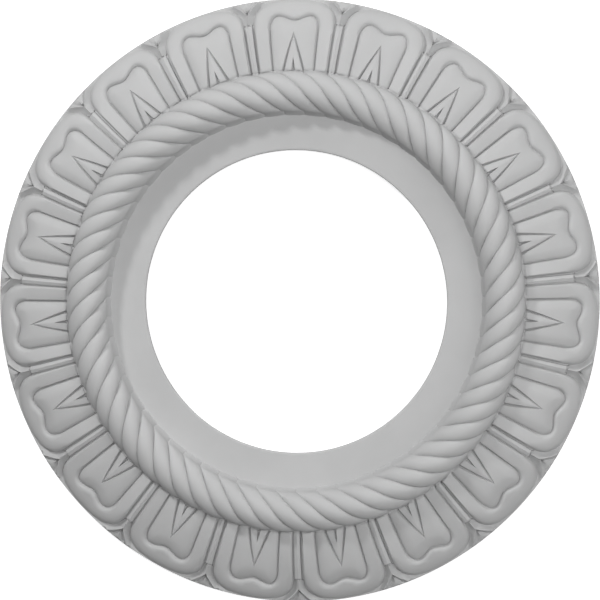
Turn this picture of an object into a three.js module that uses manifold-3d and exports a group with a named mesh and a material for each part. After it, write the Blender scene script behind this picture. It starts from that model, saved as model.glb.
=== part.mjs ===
// Ceiling rose: one moulded ring with a plain band, a twisted rope and nineteen petals.
// It lies face up on its flat back. Lengths are in millimetres, angles in degrees, +Z is up.
import * as THREE from 'three';
import Module from 'manifold-3d';
import { mergeVertices } from 'three/addons/utils/BufferGeometryUtils.js';

const wasm = await Module();
wasm.setup();

// Ring
const OUTER_RADIUS = 165;
const HOLE_RADIUS = 82.5;
const BAND_HEIGHT = 11.5;
const BAND_EDGE = 0.9;
const RIM_HEIGHT = 2.2;
const TURN_STEPS = 57;
const SLOPE_TURN_STEPS = 38;

// Rope
const ROPE_RADIUS = 114.5;
const ROPE_HALF_WIDTH = 11.2;
const ROPE_CENTRE_HEIGHT = 15.3;
const ROPE_FOOT = 3;
const STRANDS = 59;
const STRAND_STEPS = 3;
const STRAND_DEPTH = 2;
const STRAND_START = 2.39;
const STRAND_TWIST = 13;
const ROPE_ARC_STEPS = 6;

// Petal ring: a rounded slope that drops from the rope to the rim
const PETALS = 19;
const PETAL_START = -0.43;
const PETAL_PITCH = 360 / PETALS;
const PETAL_INNER = 126.2;
const GROOVE_INNER = 127.3;
const PETAL_OUTER = 164.2;
const SLOPE_START = 124;
const SLOPE_HEIGHT = 16;
const SLOPE_ROUND = 75;
const SLOPE_STEPS = 3;
const CREVICE_FLOOR = 11;

// Depths below the petal slope
const FRAME_LEVEL = 0;
const DART_LEVEL = 0.6;
const PANEL_LEVEL = 1;
const LEAF_LEVEL = 1.4;
const SLIT_LEVEL = 2.2;
const GROOVE_LEVEL = 2.6;

// Petal frame and the panel inside it
const FRAME_HALF = 8.3;
const SHOULDER_RADIUS = 150;
const SHOULDER_POWER = 2.7;
const PANEL_HALF = 5.1;
const PANEL_SIDE_END = 148;
const PANEL_UNDERLAP = 0.8;
const LOBE_ANGLE = 3.3;
const LOBE_RADIUS = 155.7;
const DIP_RADIUS = 153.2;

// Spearhead slits in the panel
const SPEAR_TIP = 145.8;
const SPEAR_HALF = 2.5;
const SLIT_WIDTH = 1.2;

// Dart strip and leaf between petals
const DART_HALF = 0.93;
const DART_END = 151.6;
const LEAF_START = 152.8;
const LEAF_GAP = 0.25;
const BLADE_SPLIT = 157.5;
const BLADE_SPREAD = 2.3;

const radians = THREE.MathUtils.degToRad;

// Point in plan: angle clockwise from +Y, and radius.
function plan(angle, radius) {
  return new THREE.Vector2(radius * Math.sin(radians(angle)), radius * Math.cos(radians(angle)));
}

function slopeHeight(radius) {
  const run = Math.max(radius - SLOPE_START, 0);
  return SLOPE_HEIGHT - SLOPE_ROUND + Math.sqrt(SLOPE_ROUND ** 2 - run ** 2);
}

function solid(geometry) {
  geometry.deleteAttribute('normal');
  geometry.deleteAttribute('uv');
  const merged = mergeVertices(geometry, 1e-4);
  const mesh = new wasm.Mesh({
    numProp: 3,
    vertProperties: new Float32Array(merged.attributes.position.array),
    triVerts: new Uint32Array(merged.index.array),
  });
  mesh.merge();
  return new wasm.Manifold(mesh);
}

// Turns a closed section, given as [radius, height] pairs, around +Z.
function turned(section, steps) {
  const points = section.map(([radius, height]) => new THREE.Vector2(radius, height));
  points.push(points[0].clone());
  const geometry = new THREE.LatheGeometry(points, steps);
  geometry.rotateX(Math.PI / 2);
  geometry.rotateZ(-radians(PETAL_START + PETAL_PITCH / 2));
  return geometry;
}

// Radius and height pairs along the petal slope, lowered by a depth, from the rim inwards.
function slopeLine(depth, from, to, steps) {
  const line = [];
  for (let i = 0; i <= steps; i++) {
    const radius = from + (to - from) * i / steps;
    line.push([radius, slopeHeight(radius) - depth]);
  }
  return line;
}

function baseRing() {
  const section = [
    [HOLE_RADIUS, 0],
    [OUTER_RADIUS, 0],
    [OUTER_RADIUS, RIM_HEIGHT],
    ...slopeLine(GROOVE_LEVEL, OUTER_RADIUS - 2, GROOVE_INNER, 2),
    [GROOVE_INNER, CREVICE_FLOOR],
    [ROPE_RADIUS, CREVICE_FLOOR],
    [ROPE_RADIUS, BAND_HEIGHT],
    [HOLE_RADIUS + BAND_EDGE, BAND_HEIGHT],
    [HOLE_RADIUS, BAND_HEIGHT - BAND_EDGE],
  ];
  return solid(turned(section, TURN_STEPS));
}

// Slab whose top follows the petal slope at a depth. Deeper slabs start a little further out.
function slopeSlab(depth) {
  const inner = PETAL_INNER + depth * 0.3;
  const section = [
    [inner, 1],
    [OUTER_RADIUS, 1],
    ...slopeLine(depth, OUTER_RADIUS, inner, SLOPE_STEPS),
  ];
  return solid(turned(section, SLOPE_TURN_STEPS));
}

// Everything above the petal slope at a depth.
function aboveSlope(depth) {
  const section = [
    [PETAL_INNER - 1, slopeHeight(PETAL_INNER - 1) - depth],
    [SPEAR_TIP + 2, slopeHeight(SPEAR_TIP + 2) - depth],
    [SPEAR_TIP + 2, SLOPE_HEIGHT + 5],
    [PETAL_INNER - 1, SLOPE_HEIGHT + 5],
  ];
  return solid(turned(section, SLOPE_TURN_STEPS));
}

// The rope is a turned half-round whose columns lean with the twist and sink at each groove.
function rope() {
  const arc = [];
  for (let i = 0; i <= ROPE_ARC_STEPS; i++) {
    arc.push(Math.PI * i / ROPE_ARC_STEPS);
  }
  const section = [
    { turn: 0, foot: true },
    ...arc.map((turn) => ({ turn, foot: false })),
    { turn: Math.PI, foot: true },
  ];
  const placeholder = section.map(({ turn }, row) => [ROPE_RADIUS + Math.cos(turn), row]);
  const columns = STRANDS * STRAND_STEPS;
  const geometry = turned(placeholder, columns);
  const rows = section.length + 1;
  const position = geometry.attributes.position;
  for (let index = 0; index < position.count; index++) {
    const column = Math.floor(index / rows) % columns;
    const { turn, foot } = section[(index % rows) % section.length];
    const part = (column % STRAND_STEPS) / STRAND_STEPS;
    const reach = ROPE_HALF_WIDTH - STRAND_DEPTH * Math.abs(2 * part - 1) ** 2;
    const lean = STRAND_TWIST * (turn / Math.PI - 0.5);
    const angle = STRAND_START + 360 * column / columns + lean;
    const spot = plan(angle, ROPE_RADIUS + reach * Math.cos(turn));
    const height = foot ? ROPE_FOOT : ROPE_CENTRE_HEIGHT + reach * Math.sin(turn);
    position.setXYZ(index, spot.x, spot.y, height);
  }
  geometry.index.array.reverse();
  return solid(geometry);
}

// Half-angle of the petal frame at a radius.
function frameHalfAngle(radius) {
  const rise = Math.max(radius - SHOULDER_RADIUS, 0) / (PETAL_OUTER - SHOULDER_RADIUS);
  return FRAME_HALF * Math.max(1 - rise ** SHOULDER_POWER, 0) ** (1 / SHOULDER_POWER);
}

// Right half of the frame's outer line, from the rope end to the top of the arch.
function frameLine() {
  const line = [[FRAME_HALF, PETAL_INNER - 2]];
  const steps = 4;
  for (let i = 0; i <= steps; i++) {
    const turn = Math.PI / 2 * i / steps;
    const angle = FRAME_HALF * Math.cos(turn) ** (2 / SHOULDER_POWER);
    const rise = (PETAL_OUTER - SHOULDER_RADIUS) * Math.sin(turn) ** (2 / SHOULDER_POWER);
    line.push([i === steps ? 0 : angle, SHOULDER_RADIUS + rise]);
  }
  return line;
}

// Right half of the panel's line: straight side, rounded lobe, dip in the middle.
function panelLine() {
  const line = [[PANEL_HALF, PETAL_INNER - 2]];
  const lobeSteps = 3;
  for (let i = 0; i <= lobeSteps; i++) {
    const turn = Math.PI / 2 * i / lobeSteps;
    const angle = LOBE_ANGLE + (PANEL_HALF - LOBE_ANGLE) * Math.cos(turn);
    line.push([angle, PANEL_SIDE_END + (LOBE_RADIUS - PANEL_SIDE_END) * Math.sin(turn)]);
  }
  const dipSteps = 2;
  for (let i = 1; i <= dipSteps; i++) {
    const angle = LOBE_ANGLE * (1 - i / dipSteps);
    const swing = (1 - Math.cos(Math.PI * angle / LOBE_ANGLE)) / 2;
    line.push([angle, DIP_RADIUS + (LOBE_RADIUS - DIP_RADIUS) * swing]);
  }
  return line;
}

// Right half of a plain line a little wider than the panel, so the panel runs under the frame.
function panelBedLine() {
  const half = PANEL_HALF + PANEL_UNDERLAP;
  return [[half, PETAL_INNER - 2], [half, PANEL_SIDE_END], [LOBE_ANGLE, LOBE_RADIUS + 2]];
}

// Full closed line from its right half, mirrored about the petal's axis.
function mirrored(half) {
  const left = half.slice().reverse().filter(([angle]) => angle > 0).map(([angle, r]) => [-angle, r]);
  return [...half, ...left];
}

// Upright prisms from closed lines of [angle, radius], one at each centre angle.
function prisms(lines, centres) {
  const shapes = centres.flatMap((centre) => lines.map((line) => {
    const points = line.map(([angle, radius]) => plan(centre + angle, radius));
    return new THREE.Shape(points);
  }));
  const options = { depth: SLOPE_HEIGHT + 8, bevelEnabled: false, curveSegments: 1 };
  const parts = shapes.map((shape) => solid(new THREE.ExtrudeGeometry(shape, options)));
  return wasm.Manifold.union(parts);
}

// Right half of the spearhead slit, two legs that run from the tip to the rope.
function slitLine() {
  const end = PETAL_INNER - 2;
  const wide = THREE.MathUtils.radToDeg(SLIT_WIDTH / end);
  const fork = SPEAR_TIP - (SPEAR_TIP - end) * wide / SPEAR_HALF;
  return [[0, fork], [SPEAR_HALF - wide, end], [SPEAR_HALF, end], [0, SPEAR_TIP]];
}

// Right half of the leaf between two petals: blades that part along the shoulders.
function leafLine() {
  const steps = 2;
  const blades = [];
  const tip = PETAL_OUTER - 0.3;
  for (let i = 0; i <= steps; i++) {
    const radius = LEAF_START + (tip - LEAF_START) * i / steps;
    blades.push([PETAL_PITCH / 2 - frameHalfAngle(radius) - LEAF_GAP, radius]);
  }
  blades.push([BLADE_SPREAD, tip]);
  blades.push([0, BLADE_SPLIT]);
  return blades;
}

const petalCentres = Array.from({ length: PETALS }, (_, i) => PETAL_START + i * PETAL_PITCH);
const dartCentres = petalCentres.map((angle) => angle + PETAL_PITCH / 2);

const frameArea = prisms([mirrored(frameLine())], petalCentres);
const panelArea = prisms([mirrored(panelLine())], petalCentres);
const dartLine = mirrored([[DART_HALF, PETAL_INNER - 2], [DART_HALF, DART_END]]);

const frames = frameArea.subtract(panelArea).intersect(slopeSlab(FRAME_LEVEL));
const panels = prisms([mirrored(panelBedLine())], petalCentres).intersect(slopeSlab(PANEL_LEVEL));
const darts = prisms([dartLine], dartCentres).intersect(slopeSlab(DART_LEVEL));
const leaves = prisms([mirrored(leafLine())], dartCentres).intersect(slopeSlab(LEAF_LEVEL));
const slits = prisms([mirrored(slitLine())], petalCentres).intersect(aboveSlope(SLIT_LEVEL));

const carved = baseRing()
  .add(frames)
  .add(panels)
  .add(darts)
  .add(leaves)
  .subtract(slits)
  .add(rope());

const result = carved.getMesh();
const geometry = new THREE.BufferGeometry();
geometry.setAttribute('position', new THREE.BufferAttribute(result.vertProperties, 3));
geometry.setIndex(new THREE.BufferAttribute(result.triVerts, 1));

const primedFinish = new THREE.MeshStandardMaterial({
  color: new THREE.Color().setRGB(0.71, 0.71, 0.71, THREE.SRGBColorSpace),
  roughness: 0.75,
  metalness: 0,
});

const rose = new THREE.Mesh(geometry, primedFinish);
rose.name = 'ceiling_rose';

const part = new THREE.Group();
part.name = 'part';
part.add(rose);

export default part;
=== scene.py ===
import math

import bmesh
import bpy
import numpy as np
from mathutils import Matrix, Vector
from mathutils.geometry import delaunay_2d_cdt


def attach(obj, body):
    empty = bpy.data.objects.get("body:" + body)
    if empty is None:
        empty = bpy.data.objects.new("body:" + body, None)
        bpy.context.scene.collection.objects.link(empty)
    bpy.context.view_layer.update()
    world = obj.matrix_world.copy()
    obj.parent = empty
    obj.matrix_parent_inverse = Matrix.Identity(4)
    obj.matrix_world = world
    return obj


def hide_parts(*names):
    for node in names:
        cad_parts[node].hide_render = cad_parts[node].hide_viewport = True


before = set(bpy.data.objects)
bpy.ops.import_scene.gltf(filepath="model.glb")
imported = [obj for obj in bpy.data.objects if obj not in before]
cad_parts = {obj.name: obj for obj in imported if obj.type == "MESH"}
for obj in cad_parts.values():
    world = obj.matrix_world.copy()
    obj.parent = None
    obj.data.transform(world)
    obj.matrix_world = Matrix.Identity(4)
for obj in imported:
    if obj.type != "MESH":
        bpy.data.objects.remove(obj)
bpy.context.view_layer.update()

# The finished look of the ceiling rose. Lengths are in millimetres until a mesh is made, heights
# count from the flat back, and angles are in degrees, clockwise from +Y as seen from above.
MM = 0.001

# Ring: plain band around the hole, and the rim
OUTER_RADIUS = 165.0
HOLE_RADIUS = 82.5
HOLE_BACK_RADIUS = 83.9
BAND_HEIGHT = 11.5
BAND_EDGE = 1.0
RIM_HEIGHT = 2.2
BACK_EDGE = 0.3
EDGE_STEPS = 4
BAND_RINGS = (99.8, 97.5, 92.0, HOLE_RADIUS + BAND_EDGE * 1.6)
RING_COLUMNS = 285

# Rope
ROPE_RADIUS = 114.5
ROPE_HALF_WIDTH = 11.2
ROPE_CENTRE_HEIGHT = 15.3
STRANDS = 59
STRAND_DEPTH = 2.0
STRAND_ROUNDNESS = 0.985
OUTER_DEPTH_SHARE = 0.95
INNER_DEPTH_SHARE = 1.25
INNER_FOOT_SHARE = 0.3
STRAND_START = 2.39
STRAND_TWIST = 13.0
STRAND_COLUMNS = 14
STRAND_ROWS = 26
COLUMN_EVENNESS = 0.5
OUTER_FOOT_HEIGHT = 14.7
INNER_FOOT_DRAFT = 1.8
OUTER_FADE_END = math.radians(45.0)
GROOVE_FADE_START = math.radians(135.0)

# Petal slope, a round drop from the rope to the rim
PETALS = 19
PETAL_START = -0.43
PETAL_PITCH = 360.0 / PETALS
PETAL_INNER = 126.3
PETAL_OUTER = 164.6
PETAL_END_ROUND = (0.5, 0.3)
SLOPE_START = 124.0
SLOPE_HEIGHT = 16.0
SLOPE_ROUND = 75.0
RIM_STEP = 0.5

# A petal cell is drawn flat: across is the arc length at the middle radius, along is the radius.
MIDDLE_RADIUS = 146.0
ARC = MIDDLE_RADIUS * math.radians(1.0)
CELL_HALF = ARC * PETAL_PITCH / 2

# Petal frame
FRAME_HALF = 8.3 * ARC
SHOULDER_RADIUS = 150.0
SHOULDER_POWER = 2.7
BAR_TILT = 1.3
ARCH_TILT = 0.7
TILT_POWER = 1.6
BAR_BEVEL = (0.45, 1.0)
ARCH_BEVEL = (2.1, 1.5)
BAR_EDGE = (0.9, 0.9)
ARCH_EDGE = (4.6, 2.2)
ARCH_FROM = 146.0
ARCH_TO = 155.0

# Panel inside the frame
PANEL_HALF = 5.1 * ARC
PANEL_SIDE_END = 148.0
LOBE_ACROSS = 3.3 * ARC
LOBE_RADIUS = 155.7
DIP_RADIUS = 153.2
PANEL_DROP = 0.25
PANEL_CROWN = 1.85
PANEL_CROWN_WIDTH = 7.0
CREASE_DEPTH = 0.9
CREASE_WIDTH = 0.45

# Spearhead cut in the panel, with a small notch at the rope
SPEAR_TIP = 145.8
SPEAR_HALF = 2.45 * ARC
SPEAR_ROOF = 0.5
SPEAR_SINK = 0.4
SPEAR_FULL_WIDTH = 2.0
SLIT_HALF_WIDTHS = (0.45, 1.05)
SLIT_DEPTHS = (0.7, 2.2)
NOTCH_TIP = 133.3
NOTCH_HALF = 0.5 * ARC
NOTCH_DEPTH = 2.0
NOTCH_WALL = 0.6

# Dart strip between two petals; distances are from its own middle line
DART_EDGE = 1.7
GROOVE_FLOOR = (1.9, 2.65)
DART_RIDGE_DROP = 0.5
DART_ROOF = 0.45
GROOVE_DROP = 3.3
DART_END = 152.2
DART_END_HALF_WIDTH = 0.55
DART_END_DEPTH = 1.4

# Leaf beyond the dart: two blades that part, with a bud between them
BLADE_SPLIT = 157.5
BLADE_LEAN = 1.2 * ARC
BLADE_LEAN_RUN = 3.9
BLADE_LEAN_POWER = 1.2
BLADE_RIDGE_DROP = 0.35
BLADE_FOOT_DROP = 4.4
BLADE_SCOOP = 0.4
RECESS_DROP = 3.3
RECESS_WALL = 0.55
BUD_TIP = 159.4
BUD_END = 164.2
BUD_HALF = 1.3 * ARC
BUD_POWER = 0.8
BUD_DROP = 0.7
BUD_ROUND = 1.6

# Points that carry the carving: along lines, beside them, and in an even field between
LINE_STEP = 0.75
OUTLINE_POINTS = 160
PANEL_POINTS = 60
BLADE_POINTS = 24
BUD_POINTS = 16
INSIDE_FRAME = (0.35, 0.8, 1.4, 2.4, 3.6, 5.0)
OUTSIDE_FRAME = (-0.5, -1.2, -2.2)
INSIDE_PANEL = (0.35, 0.8, 1.5, 2.6, 4.0, 5.6)
OUTSIDE_PANEL = (-0.35, -0.8, -1.5, -2.3)
BESIDE_CLEARANCE = 0.416
FIELD_STEP = 1.5
FIELD_CLEARANCE = 0.75
BORDER_CLEARANCE = 0.3
GRID_CELL = 1.0
PLAN_TOLERANCE = 1e-5

# Joining
SAME_PLACE = 0.02
WELD_DISTANCE = 0.01
FOOT_STEP = 0.1
SHARP_ANGLE = 38.0
TINY = 1e-6

# Finish: two tones with their places on the ramp, scale and detail of each pattern
TONES = ((0.3, (0.445, 0.446, 0.447, 1.0)), (0.7, (0.475, 0.476, 0.477, 1.0)))
TONE_PATTERN = (38.0, 4.0)
DULL_PATTERN = (210.0, 3.0)
DULL_RANGE = (0.6, 0.74)
GRAIN_PATTERN = (1500.0, 2.0)
GRAIN_STRENGTH = 0.12
GRAIN_DEPTH = 0.15
PRIMER_SHINE = 0.35
FLOOR_TONE = (0.85, 0.85, 0.85, 1.0)
FLOOR_ROUGHNESS = 0.9
FLOOR_SHINE = 0.1
FLOOR_GLOW = 0.62
WHITE = (1.0, 1.0, 1.0, 1.0)

# Studio; each light has a name, azimuth, elevation, distance and width in metres, and watts
LIGHTS = [
    ("key_light", 320.0, 32.7, 1.6, 0.2, 11.3),
    ("top_light", 0.0, 88.0, 1.6, 1.2, 9.8),
    ("fill_light", 75.0, 60.0, 1.6, 1.2, 5.6),
    ("side_light", 100.0, 30.0, 1.6, 1.2, 6.3),
    ("back_light", 10.0, 20.0, 1.6, 0.8, 5.5),
]
ROOM_LIGHT = 0.12
FLOOR_HALF = 4.0
FLOOR_HEIGHT = -0.0003

# Camera, in metres, with the lens and sensor in millimetres
CAMERA_SIDE = Vector((0.1113, 0.0382, 1.0))
CAMERA_DISTANCE = 2.5
CAMERA_AIM = Vector((0.00126, 0.00055, 0.002))
SENSOR = 36.0
LENS = 274.0


def smooth_between(value, low, high):
    part = np.clip((value - low) / (high - low), 0.0, 1.0)
    return part * part * (3.0 - 2.0 * part)


def mixed(first, second, share):
    return first * (1.0 - share) + second * share


def placed(angle, radius, height):
    """Points in metres from clockwise angles, radii and heights."""
    turn = np.radians(angle)
    parts = np.broadcast_arrays(radius * np.sin(turn), radius * np.cos(turn), height)
    return MM * np.stack(parts, axis=-1)


def slope_height(radius):
    run = np.maximum(radius - SLOPE_START, 0.0)
    return SLOPE_HEIGHT - SLOPE_ROUND + np.sqrt(SLOPE_ROUND ** 2 - run ** 2)


def resampled(line, step):
    """The same line with points at an even spacing close to step."""
    line = np.asarray(line, float)
    length = np.concatenate([[0.0], np.cumsum(np.hypot(*np.diff(line, axis=0).T))])
    count = max(2, int(round(length[-1] / step)) + 1)
    spots = np.linspace(0.0, length[-1], count)
    return np.stack([np.interp(spots, length, line[:, k]) for k in (0, 1)], axis=-1)


def distance_to(line, across, along):
    """Shortest distance from each point to an open line."""
    start, end = line[:-1], line[1:]
    run = end - start
    spot = np.stack([across, along], axis=-1)[:, None, :] - start[None]
    part = np.clip((spot * run).sum(-1) / (run * run).sum(-1), 0.0, 1.0)
    return np.linalg.norm(spot - part[..., None] * run, axis=-1).min(axis=1)


def frame_line():
    """Right half of the frame's outer line, from the rope end to the top of its arch."""
    turn = np.linspace(0.0, math.pi / 2, OUTLINE_POINTS)
    across = FRAME_HALF * np.abs(np.cos(turn)) ** (2.0 / SHOULDER_POWER)
    rise = (PETAL_OUTER - SHOULDER_RADIUS) * np.sin(turn) ** (2.0 / SHOULDER_POWER)
    across[-1] = 0.0
    arch = np.stack([across, SHOULDER_RADIUS + rise], axis=-1)
    return np.concatenate([[[FRAME_HALF, PETAL_INNER]], arch])


def frame_half_width(along):
    rise = np.clip((along - SHOULDER_RADIUS) / (PETAL_OUTER - SHOULDER_RADIUS), 0.0, 1.0)
    return FRAME_HALF * (1.0 - rise ** SHOULDER_POWER) ** (1.0 / SHOULDER_POWER)


def panel_crown(across):
    """Radius where the panel ends: a dip on the axis, a lobe, then a round shoulder."""
    swing = (1.0 - np.cos(np.pi * np.clip(across / LOBE_ACROSS, 0.0, 1.0))) / 2.0
    lobe = DIP_RADIUS + (LOBE_RADIUS - DIP_RADIUS) * swing
    part = np.clip((across - LOBE_ACROSS) / (PANEL_HALF - LOBE_ACROSS), 0.0, 1.0)
    shoulder = PANEL_SIDE_END + (LOBE_RADIUS - PANEL_SIDE_END) * np.sqrt(1.0 - part ** 2)
    return np.where(across < LOBE_ACROSS, lobe, shoulder)


def panel_line():
    """Right half of the panel's line, from the rope end to the dip on the axis."""
    turn = np.linspace(0.0, math.pi / 2, PANEL_POINTS)
    shoulder = LOBE_ACROSS + (PANEL_HALF - LOBE_ACROSS) * np.cos(turn)
    lobe = np.linspace(LOBE_ACROSS, 0.0, PANEL_POINTS)[1:]
    across = np.concatenate([shoulder, lobe])
    crown = np.stack([across, panel_crown(across)], axis=-1)
    return np.concatenate([[[PANEL_HALF, PETAL_INNER]], crown])


def spear_across(along):
    return SPEAR_HALF * (SPEAR_TIP - along) / (SPEAR_TIP - PETAL_INNER)


def notch_across(along):
    return NOTCH_HALF * (NOTCH_TIP - along) / (NOTCH_TIP - PETAL_INNER)


def blade_lean(along):
    """Distance of a blade's ridge from the dart's middle line."""
    run = np.maximum(along - BLADE_SPLIT, 0.0) / BLADE_LEAN_RUN
    return BLADE_LEAN * run ** BLADE_LEAN_POWER


def bud_half_width(along):
    part = np.clip((along - BUD_TIP) / (BUD_END - BUD_TIP), 0.0, 1.0)
    return BUD_HALF * part ** BUD_POWER


FRAME_LINE = resampled(frame_line(), LINE_STEP)
PANEL_LINE = resampled(panel_line(), LINE_STEP)


def frame_drop(along, to_frame, to_panel):
    """Depth of the frame below the slope, from its outer edge to the panel."""
    arch = smooth_between(along, ARCH_FROM, ARCH_TO)
    part = to_frame / (to_frame + to_panel + 1e-9)
    drop = mixed(BAR_TILT, ARCH_TILT, arch) * part ** TILT_POWER
    bevel_width = mixed(BAR_BEVEL[0], ARCH_BEVEL[0], arch)
    bevel_depth = mixed(BAR_BEVEL[1], ARCH_BEVEL[1], arch)
    drop += bevel_depth * np.clip(1.0 - to_panel / bevel_width, 0.0, 1.0)
    edge_width = mixed(BAR_EDGE[0], ARCH_EDGE[0], arch)
    edge_depth = mixed(BAR_EDGE[1], ARCH_EDGE[1], arch)
    turn = 1.0 - np.clip(to_frame / edge_width, 0.0, 1.0)
    return drop + edge_depth * (1.0 - np.sqrt(1.0 - turn ** 2))


def panel_drop(across, along, to_panel):
    """Depth of the crowned panel with its spearhead cut and notch."""
    edge = 1.0 - np.clip(to_panel / PANEL_CROWN_WIDTH, 0.0, 1.0)
    drop = PANEL_DROP + PANEL_CROWN * edge ** 2
    spear = spear_across(along)
    inside = across < spear
    roof = 1.0 - across / np.maximum(spear, TINY) - SPEAR_SINK
    full = np.minimum(spear / SPEAR_FULL_WIDTH, 1.0)
    drop -= np.where(inside, SPEAR_ROOF * roof * full, 0.0)
    slant = math.cos(math.atan2(SPEAR_HALF, SPEAR_TIP - PETAL_INNER))
    to_slit = np.abs(across - spear) * slant
    near_rope = np.clip((SPEAR_TIP - along) / (SPEAR_TIP - PETAL_INNER), 0.0, 1.0)
    wall = np.clip(1.0 - to_slit / mixed(*SLIT_HALF_WIDTHS, near_rope), 0.0, 1.0)
    drop += mixed(*SLIT_DEPTHS, near_rope) * wall
    into_notch = notch_across(along) - across
    return drop + NOTCH_DEPTH * np.clip(into_notch / NOTCH_WALL, 0.0, 1.0)


def dart_drop(off, along):
    """Depth of the roofed dart strip and of the groove beside it."""
    roof = DART_RIDGE_DROP + DART_ROOF * np.minimum(off, DART_EDGE)
    edge_drop = DART_RIDGE_DROP + DART_ROOF * DART_EDGE
    groove = np.clip((off - DART_EDGE) / (GROOVE_FLOOR[0] - DART_EDGE), 0.0, 1.0)
    wall_width = CELL_HALF - FRAME_HALF - GROOVE_FLOOR[1]
    wall = np.clip((off - GROOVE_FLOOR[1]) / wall_width, 0.0, 1.0)
    drop = np.where(off < DART_EDGE, roof, mixed(edge_drop, GROOVE_DROP, groove))
    drop = mixed(drop, BAR_EDGE[1], wall)
    cut = np.clip(1.0 - np.abs(along - DART_END) / DART_END_HALF_WIDTH, 0.0, 1.0)
    return drop + DART_END_DEPTH * cut * (off < GROOVE_FLOOR[0])


def leaf_drop(off, along):
    """Depth of the two blades, the recess between them and its bud."""
    ridge = blade_lean(along)
    reach = np.maximum(CELL_HALF - frame_half_width(along) - ridge, TINY)
    part = np.clip((off - ridge) / reach, 0.0, 1.0)
    scoop = (1.0 + BLADE_SCOOP) * part - BLADE_SCOOP * part ** 2
    blade = BLADE_RIDGE_DROP + (BLADE_FOOT_DROP - BLADE_RIDGE_DROP) * scoop
    wall = np.clip((ridge - off) / RECESS_WALL, 0.0, 1.0)
    recess = mixed(BLADE_RIDGE_DROP, RECESS_DROP, wall)
    width = bud_half_width(along)
    bud = BUD_DROP + BUD_ROUND * (off / np.maximum(width, TINY)) ** 2
    recess = np.where((off < width) & (along < BUD_END), np.minimum(recess, bud), recess)
    return np.where(off < ridge, recess, blade)


def cell_height(across, along):
    """Height of the carved face at points of the right half of a petal cell."""
    off = CELL_HALF - across
    to_frame = distance_to(FRAME_LINE, across, along)
    to_panel = distance_to(PANEL_LINE, across, along)
    in_frame = (across <= frame_half_width(along)) & (along <= PETAL_OUTER)
    in_panel = (across < PANEL_HALF) & (along < panel_crown(across))
    on_dart = along < DART_END + DART_END_HALF_WIDTH
    between = np.where(on_dart, dart_drop(off, along), leaf_drop(off, along))
    drop = np.where(in_frame, frame_drop(along, to_frame, to_panel), between)
    drop = np.where(in_panel, panel_drop(across, along, to_panel), drop)
    drop += CREASE_DEPTH * np.exp(-(to_panel / CREASE_WIDTH) ** 2)
    rounded = 1.0 - np.clip((along - PETAL_INNER) / PETAL_END_ROUND[0], 0.0, 1.0)
    drop += PETAL_END_ROUND[1] * (1.0 - np.sqrt(1.0 - rounded ** 2))
    height = np.maximum(slope_height(along) - drop, RIM_HEIGHT)
    return mixed(RIM_HEIGHT, height, np.clip((OUTER_RADIUS - along) / RIM_STEP, 0.0, 1.0))


def crease_lines():
    """Lines of the half cell along which the surface turns sharply."""
    lean = math.sin(math.atan2(SPEAR_HALF, SPEAR_TIP - PETAL_INNER))
    lines = [FRAME_LINE, PANEL_LINE]
    for side in (-1.0, 0.0, 1.0):
        tip = SPEAR_TIP + side * SLIT_HALF_WIDTHS[0] / lean
        lines.append([[SPEAR_HALF + side * SLIT_HALF_WIDTHS[1], PETAL_INNER], [0.0, tip]])
    lines.append([[NOTCH_HALF, PETAL_INNER], [0.0, NOTCH_TIP]])
    for off in (DART_EDGE, *GROOVE_FLOOR):
        lines.append([[CELL_HALF - off, PETAL_INNER], [CELL_HALF - off, DART_END]])
    for shift in (-DART_END_HALF_WIDTH, 0.0, DART_END_HALF_WIDTH):
        spot = DART_END + shift
        lines.append([[CELL_HALF - GROOVE_FLOOR[0], spot], [CELL_HALF, spot]])
    along = np.linspace(BLADE_SPLIT, OUTER_RADIUS - RIM_STEP, BLADE_POINTS)
    lines.append(np.stack([CELL_HALF - blade_lean(along), along], axis=-1))
    along = np.linspace(BUD_TIP, BUD_END, BUD_POINTS)
    bud = np.stack([CELL_HALF - bud_half_width(along), along], axis=-1)
    lines.append(np.concatenate([bud, [[CELL_HALF, BUD_END]]]))
    return [resampled(line, LINE_STEP) for line in lines]


def border_lines():
    """The four straight edges of the half cell."""
    axis, side = ((across, PETAL_INNER) for across in (0.0, CELL_HALF))
    axis_end, side_end = ((across, OUTER_RADIUS) for across in (0.0, CELL_HALF))
    pairs = [(axis, axis_end), (side, side_end), (axis, side), (axis_end, side_end)]
    return [resampled(pair, LINE_STEP) for pair in pairs]


def offset_points(line, distance):
    """Points beside a line, on its left for a positive distance."""
    run = np.gradient(line, axis=0)
    run /= np.linalg.norm(run, axis=1, keepdims=True)
    return line + distance * np.stack([-run[:, 1], run[:, 0]], axis=-1)


class PointGrid:
    """Points kept a clearance apart, looked up by square cells."""

    def __init__(self, cell):
        self.cell = cell
        self.boxes = {}
        self.points = []

    def box(self, point):
        return tuple(int(value // self.cell) for value in point)

    def near(self, point, clearance):
        column, row = self.box(point)
        for i in range(column - 1, column + 2):
            for j in range(row - 1, row + 2):
                for index in self.boxes.get((i, j), ()):
                    if math.dist(self.points[index], point) < clearance:
                        return index
        return None

    def add(self, point, clearance):
        """Index of the point, or of one already there within the clearance."""
        found = self.near(point, clearance)
        if found is not None:
            return found
        self.boxes.setdefault(self.box(point), []).append(len(self.points))
        self.points.append((float(point[0]), float(point[1])))
        return len(self.points) - 1


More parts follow.
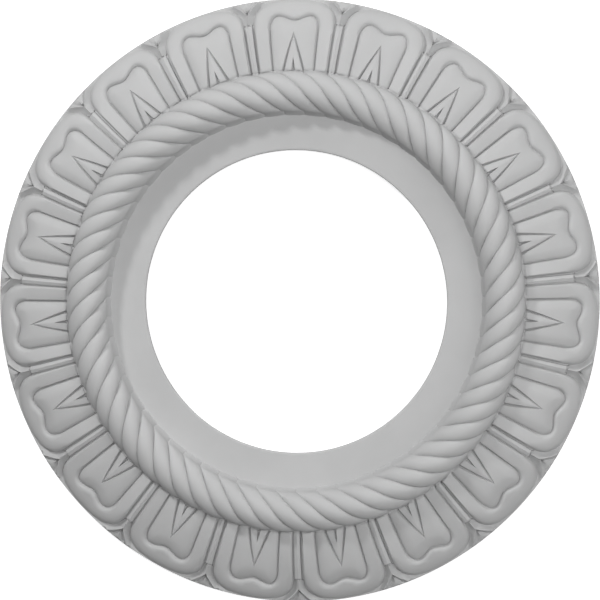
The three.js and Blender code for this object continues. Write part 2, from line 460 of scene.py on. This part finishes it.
def loose_points():
    """Points beside the lines and in the field, with the clearance that each one keeps."""
    beside = [(FRAME_LINE, INSIDE_FRAME), (FRAME_LINE, OUTSIDE_FRAME)]
    beside += [(PANEL_LINE, INSIDE_PANEL), (PANEL_LINE, OUTSIDE_PANEL)]
    points = []
    for line, distances in beside:
        for distance in distances:
            points += list(offset_points(line, distance))
    rows = np.arange(PETAL_INNER, OUTER_RADIUS, FIELD_STEP * math.sqrt(0.75))
    for count, along in enumerate(rows):
        start = FIELD_STEP * 0.5 * (count % 2)
        points += [(across, along) for across in np.arange(start, CELL_HALF, FIELD_STEP)]
    longest_row = int(CELL_HALF / FIELD_STEP + 1)
    wide = len(rows) * longest_row
    clearances = [BESIDE_CLEARANCE] * (len(points) - wide) + [FIELD_CLEARANCE] * wide
    return zip(points, clearances)


def half_cell():
    """Plan points and triangles of the right half of a petal cell."""
    grid = PointGrid(GRID_CELL)
    edges = []
    for line in border_lines() + crease_lines():
        run = [grid.add(point, SAME_PLACE) for point in line]
        edges += [pair for pair in zip(run, run[1:]) if pair[0] != pair[1]]
    for point, clearance in loose_points():
        across_ok = BORDER_CLEARANCE < point[0] < CELL_HALF - BORDER_CLEARANCE
        along_ok = PETAL_INNER + BORDER_CLEARANCE < point[1] < OUTER_RADIUS - BORDER_CLEARANCE
        if across_ok and along_ok:
            grid.add(point, clearance)
    spots = [Vector(point) for point in grid.points]
    found = delaunay_2d_cdt(spots, edges, [], 0, PLAN_TOLERANCE)
    return np.array([list(point) for point in found[0]]), [tuple(face) for face in found[2]]


def petal_cell():
    """One petal with half of the dart and leaf on each side, as points in metres and faces."""
    plan, faces = half_cell()
    across, along = plan.T
    height = cell_height(across, along)
    twin = np.arange(len(plan))
    apart = across > TINY
    twin[apart] = len(plan) + np.arange(apart.sum())
    mirrored = [tuple(int(twin[index]) for index in reversed(face)) for face in faces]
    across = np.concatenate([across, -across[apart]])
    along = np.concatenate([along, along[apart]])
    height = np.concatenate([height, height[apart]])
    return placed(PETAL_START + across / ARC, along, height), faces + mirrored


def strand():
    """One strand of the rope from groove to groove, with a foot on each side of it."""
    share = (1.0 - np.cos(np.linspace(0.0, math.pi, STRAND_COLUMNS + 1))) / 2.0
    share = mixed(share, np.linspace(0.0, 1.0, STRAND_COLUMNS + 1), COLUMN_EVENNESS)
    side = STRAND_ROUNDNESS * (2.0 * share - 1.0) ** 2
    sink = (1.0 - np.sqrt(1.0 - side)) / (1.0 - math.sqrt(1.0 - STRAND_ROUNDNESS))
    turn = np.linspace(0.0, math.pi, STRAND_ROWS)[:, None]
    depth = mixed(OUTER_DEPTH_SHARE, 1.0, smooth_between(turn, 0.0, OUTER_FADE_END))
    depth = mixed(depth, INNER_DEPTH_SHARE, smooth_between(turn, math.pi / 2, GROOVE_FADE_START))
    depth = mixed(depth, INNER_FOOT_SHARE, smooth_between(turn, GROOVE_FADE_START, math.pi))
    reach = ROPE_HALF_WIDTH - STRAND_DEPTH * depth * sink[None, :]
    lean = STRAND_TWIST * (turn / math.pi - 0.5)
    angle = STRAND_START + 360.0 / STRANDS * share[None, :] + lean
    radius = ROPE_RADIUS + reach * np.cos(turn)
    height = ROPE_CENTRE_HEIGHT + reach * np.sin(turn)
    angle = np.concatenate([angle[:1], angle, angle[-1:]])
    radius = np.concatenate([radius[:1], radius, radius[-1:] - INNER_FOOT_DRAFT])
    outer_foot = np.full_like(height[:1], OUTER_FOOT_HEIGHT)
    inner_foot = np.full_like(height[:1], BAND_HEIGHT)
    height = np.concatenate([outer_foot, height, inner_foot])
    columns = STRAND_COLUMNS + 1
    faces = []
    for row in range(STRAND_ROWS + 1):
        for column in range(STRAND_COLUMNS):
            corner = row * columns + column
            faces.append((corner, corner + 1, corner + columns + 1, corner + columns))
    return placed(angle, radius, height).reshape(-1, 3), faces


def mesh_object(name, points, faces):
    mesh = bpy.data.meshes.new(name)
    mesh.from_pydata([tuple(point) for point in points], [], [tuple(face) for face in faces])
    piece = bpy.data.objects.new(name, mesh)
    bpy.context.scene.collection.objects.link(piece)
    return piece


def ring_tree():
    """Node tree that sets copies of a carved repeat around +Z and welds them together."""
    tree = bpy.data.node_groups.new("carved_ring", "GeometryNodeTree")
    sockets = tree.interface
    sockets.new_socket("Repeat", in_out="INPUT", socket_type="NodeSocketGeometry")
    count = sockets.new_socket("Count", in_out="INPUT", socket_type="NodeSocketInt")
    weld = sockets.new_socket("Weld distance", in_out="INPUT", socket_type="NodeSocketFloat")
    finish = sockets.new_socket("Finish", in_out="INPUT", socket_type="NodeSocketMaterial")
    sockets.new_socket("Ring", in_out="OUTPUT", socket_type="NodeSocketGeometry")
    nodes, links = tree.nodes, tree.links
    given = nodes.new("NodeGroupInput")
    spots = nodes.new("GeometryNodePoints")
    index = nodes.new("GeometryNodeInputIndex")
    share = nodes.new("ShaderNodeMath")
    share.operation = "DIVIDE"
    turn = nodes.new("ShaderNodeMath")
    turn.operation = "MULTIPLY"
    turn.inputs[1].default_value = math.tau
    around = nodes.new("ShaderNodeCombineXYZ")
    rotation = nodes.new("FunctionNodeEulerToRotation")
    copies = nodes.new("GeometryNodeInstanceOnPoints")
    real = nodes.new("GeometryNodeRealizeInstances")
    welded = nodes.new("GeometryNodeMergeByDistance")
    painted = nodes.new("GeometryNodeSetMaterial")
    result = nodes.new("NodeGroupOutput")
    links.new(given.outputs["Count"], spots.inputs["Count"])
    links.new(index.outputs[0], share.inputs[0])
    links.new(given.outputs["Count"], share.inputs[1])
    links.new(share.outputs[0], turn.inputs[0])
    links.new(turn.outputs[0], around.inputs["Z"])
    links.new(around.outputs[0], rotation.inputs[0])
    links.new(spots.outputs[0], copies.inputs["Points"])
    links.new(given.outputs["Repeat"], copies.inputs["Instance"])
    links.new(rotation.outputs[0], copies.inputs["Rotation"])
    links.new(copies.outputs[0], real.inputs[0])
    links.new(real.outputs[0], welded.inputs["Geometry"])
    links.new(given.outputs["Weld distance"], welded.inputs["Distance"])
    links.new(welded.outputs[0], painted.inputs["Geometry"])
    links.new(given.outputs["Finish"], painted.inputs["Material"])
    links.new(painted.outputs[0], result.inputs[0])
    names = {"count": count.identifier, "weld": weld.identifier, "finish": finish.identifier}
    return tree, names


def ring_of(name, repeat, count, tree, names, finish):
    """Points and faces of a full ring made of count copies of one repeat."""
    piece = mesh_object(name, *repeat)
    modifier = piece.modifiers.new("ring", "NODES")
    modifier.node_group = tree
    modifier[names["count"]] = count
    modifier[names["weld"]] = WELD_DISTANCE * MM
    modifier[names["finish"]] = finish
    evaluated = piece.evaluated_get(bpy.context.evaluated_depsgraph_get())
    mesh = bpy.data.meshes.new_from_object(evaluated)
    points = np.empty(len(mesh.vertices) * 3)
    mesh.vertices.foreach_get("co", points)
    faces = [tuple(face.vertices) for face in mesh.polygons]
    bpy.data.objects.remove(piece)
    bpy.data.meshes.remove(mesh)
    return points.reshape(-1, 3), faces


class Shell:
    """Points and faces of the whole rose while its rings are joined up."""

    def __init__(self):
        self.points = np.empty((0, 3))
        self.faces = []

    def add(self, points, faces=()):
        first = len(self.points)
        self.points = np.concatenate([self.points, points])
        self.faces += [tuple(first + index for index in face) for face in faces]
        return np.arange(first, len(self.points))

    def turn(self, indices):
        return np.arctan2(self.points[indices, 0], self.points[indices, 1])

    def ring(self, radius, height):
        angle = np.arange(RING_COLUMNS) * 360.0 / RING_COLUMNS
        return self.add(placed(angle, radius, height))

    def lowered(self, ring, height):
        """A copy of a ring at a height, or just below the ring where that is lower still."""
        points = self.points[ring].copy()
        points[:, 2] = np.minimum(points[:, 2] - FOOT_STEP * MM, height * MM)
        return self.add(points)

    def sorted_ring(self, indices):
        return indices[np.argsort(self.turn(indices))]

    def join(self, first, second):
        """Triangles between two rings, walked once round by their angles."""
        first, second = self.sorted_ring(first), self.sorted_ring(second)
        away = (self.turn(second) - self.turn(first)[0] + math.pi) % math.tau - math.pi
        second = np.roll(second, -int(np.argmin(np.abs(away))))
        here = np.unwrap(np.append(self.turn(first), self.turn(first)[0]))
        there = np.unwrap(np.append(self.turn(second), self.turn(second)[0]))
        there -= math.tau * np.round((there[0] - here[0]) / math.tau)
        i = j = 0
        while i < len(first) or j < len(second):
            last, other = first[i % len(first)], second[j % len(second)]
            if j == len(second) or (i < len(first) and here[i + 1] <= there[j + 1]):
                i += 1
                self.faces.append((last, first[i % len(first)], other))
            else:
                j += 1
                self.faces.append((last, second[j % len(second)], other))

    def grow(self, ring, outline):
        """Joins on a round ring for each radius and height, and returns the last one."""
        for radius, height in outline:
            following = self.ring(radius, height)
            self.join(ring, following)
            ring = following
        return ring


def rose_shell(petals, rope):
    """Joins the carved rings, band, hole, rim and back into one closed skin."""
    shell = Shell()
    petal_points = shell.add(*petals)
    rope_points = shell.add(*rope)
    radius = np.hypot(shell.points[:, 0], shell.points[:, 1]) / MM
    height = shell.points[:, 2] / MM
    petal_inner = petal_points[radius[petal_points] < PETAL_INNER + SAME_PLACE]
    rim_top = petal_points[radius[petal_points] > OUTER_RADIUS - SAME_PLACE]
    outside = radius[rope_points] > ROPE_RADIUS
    rope_height = height[rope_points]
    outer_feet = rope_points[outside & (rope_height < OUTER_FOOT_HEIGHT + SAME_PLACE)]
    inner_feet = rope_points[~outside & (rope_height < BAND_HEIGHT + SAME_PLACE)]

    petal_feet = shell.lowered(petal_inner, OUTER_FOOT_HEIGHT)
    shell.join(petal_inner, petal_feet)
    shell.join(petal_feet, outer_feet)

    inside = [(ring_radius, BAND_HEIGHT) for ring_radius in BAND_RINGS]
    for step in range(EDGE_STEPS + 1):
        turn = math.pi / 2 * step / EDGE_STEPS
        edge_radius = HOLE_RADIUS + BAND_EDGE * (1.0 - math.sin(turn))
        inside.append((edge_radius, BAND_HEIGHT - BAND_EDGE * (1.0 - math.cos(turn))))
    inside += [(HOLE_BACK_RADIUS, BACK_EDGE), (HOLE_BACK_RADIUS + BACK_EDGE, 0.0)]
    inner = shell.grow(inner_feet, inside)
    rim = [(OUTER_RADIUS, BACK_EDGE), (OUTER_RADIUS - BACK_EDGE, 0.0)]
    outer = shell.grow(rim_top, rim)
    shell.join(outer, inner)
    return shell.points, shell.faces


def primed_finish():
    """Matt light grey primer with a fine sprayed grain and a faint unevenness of tone."""
    material = bpy.data.materials.new("primed_finish")
    material.use_nodes = True
    nodes, links = material.node_tree.nodes, material.node_tree.links
    shader = nodes["Principled BSDF"]
    shader.inputs["Specular IOR Level"].default_value = PRIMER_SHINE
    where = nodes.new("ShaderNodeTexCoord")

    def noise(scale, detail):
        pattern = nodes.new("ShaderNodeTexNoise")
        pattern.inputs["Scale"].default_value = scale
        pattern.inputs["Detail"].default_value = detail
        links.new(where.outputs["Object"], pattern.inputs["Vector"])
        return pattern

    tone = nodes.new("ShaderNodeValToRGB")
    for stop, (position, color) in zip(tone.color_ramp.elements, TONES):
        stop.position = position
        stop.color = color
    links.new(noise(*TONE_PATTERN).outputs["Fac"], tone.inputs["Fac"])
    links.new(tone.outputs["Color"], shader.inputs["Base Color"])

    dull = nodes.new("ShaderNodeMapRange")
    dull.inputs["To Min"].default_value = DULL_RANGE[0]
    dull.inputs["To Max"].default_value = DULL_RANGE[1]
    links.new(noise(*DULL_PATTERN).outputs["Fac"], dull.inputs["Value"])
    links.new(dull.outputs["Result"], shader.inputs["Roughness"])

    grain = nodes.new("ShaderNodeBump")
    grain.inputs["Strength"].default_value = GRAIN_STRENGTH
    grain.inputs["Distance"].default_value = GRAIN_DEPTH * MM
    links.new(noise(*GRAIN_PATTERN).outputs["Fac"], grain.inputs["Height"])
    links.new(grain.outputs["Normal"], shader.inputs["Normal"])
    return material


def floor_finish():
    material = bpy.data.materials.new("floor_white")
    material.use_nodes = True
    shader = material.node_tree.nodes["Principled BSDF"]
    shader.inputs["Base Color"].default_value = FLOOR_TONE
    shader.inputs["Roughness"].default_value = FLOOR_ROUGHNESS
    shader.inputs["Specular IOR Level"].default_value = FLOOR_SHINE
    shader.inputs["Emission Color"].default_value = WHITE
    shader.inputs["Emission Strength"].default_value = FLOOR_GLOW
    return material


def pale_floor():
    signs = ((-1, -1), (1, -1), (1, 1), (-1, 1))
    corners = [(x * FLOOR_HALF, y * FLOOR_HALF, FLOOR_HEIGHT) for x, y in signs]
    floor = mesh_object("floor", corners, [(0, 1, 2, 3)])
    floor.data.materials.append(floor_finish())
    floor.visible_diffuse = False


def from_above(azimuth, elevation, distance):
    """Point in metres at a clockwise azimuth and an elevation, seen from the origin."""
    turn, rise = math.radians(azimuth), math.radians(elevation)
    level = distance * math.cos(rise)
    return Vector((level * math.sin(turn), level * math.cos(turn), distance * math.sin(rise)))


def studio():
    for name, azimuth, elevation, distance, width, watts in LIGHTS:
        light = bpy.data.lights.new(name, "AREA")
        light.shape = "DISK"
        light.size = width
        light.energy = watts
        lamp = bpy.data.objects.new(name, light)
        lamp.location = from_above(azimuth, elevation, distance)
        lamp.rotation_euler = (-lamp.location).to_track_quat("-Z", "Y").to_euler()
        bpy.context.scene.collection.objects.link(lamp)
    world = bpy.data.worlds.new("soft_room")
    world.use_nodes = True
    room = world.node_tree.nodes["Background"]
    room.inputs["Color"].default_value = WHITE
    room.inputs["Strength"].default_value = ROOM_LIGHT
    bpy.context.scene.world = world
    bpy.context.scene.view_settings.view_transform = "Standard"


def photo_camera():
    """Camera that looks down on the face, with +Y up in the picture."""
    view = bpy.data.cameras.new("camera")
    view.sensor_width = SENSOR
    view.lens = LENS
    camera = bpy.data.objects.new("camera", view)
    spot = CAMERA_SIDE.normalized() * CAMERA_DISTANCE
    back = (spot - CAMERA_AIM).normalized()
    right = Vector((0.0, 1.0, 0.0)).cross(back).normalized()
    turn = Matrix((right, back.cross(right), back)).transposed().to_4x4()
    camera.matrix_world = Matrix.Translation(spot) @ turn
    bpy.context.scene.collection.objects.link(camera)
    bpy.context.scene.camera = camera


def ceiling_rose():
    finish = primed_finish()
    tree, names = ring_tree()
    petals = ring_of("petal_ring", petal_cell(), PETALS, tree, names, finish)
    rope = ring_of("rope_ring", strand(), STRANDS, tree, names, finish)
    rose = mesh_object("ceiling_rose_carved", *rose_shell(petals, rope))
    work = bmesh.new()
    work.from_mesh(rose.data)
    bmesh.ops.recalc_face_normals(work, faces=work.faces)
    work.to_mesh(rose.data)
    work.free()
    rose.data.shade_smooth()
    rose.data.set_sharp_from_angle(angle=math.radians(SHARP_ANGLE))
    rose.data.materials.append(finish)
    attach(rose, "root")
    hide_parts("ceiling_rose")


ceiling_rose()
pale_floor()
studio()
photo_camera()
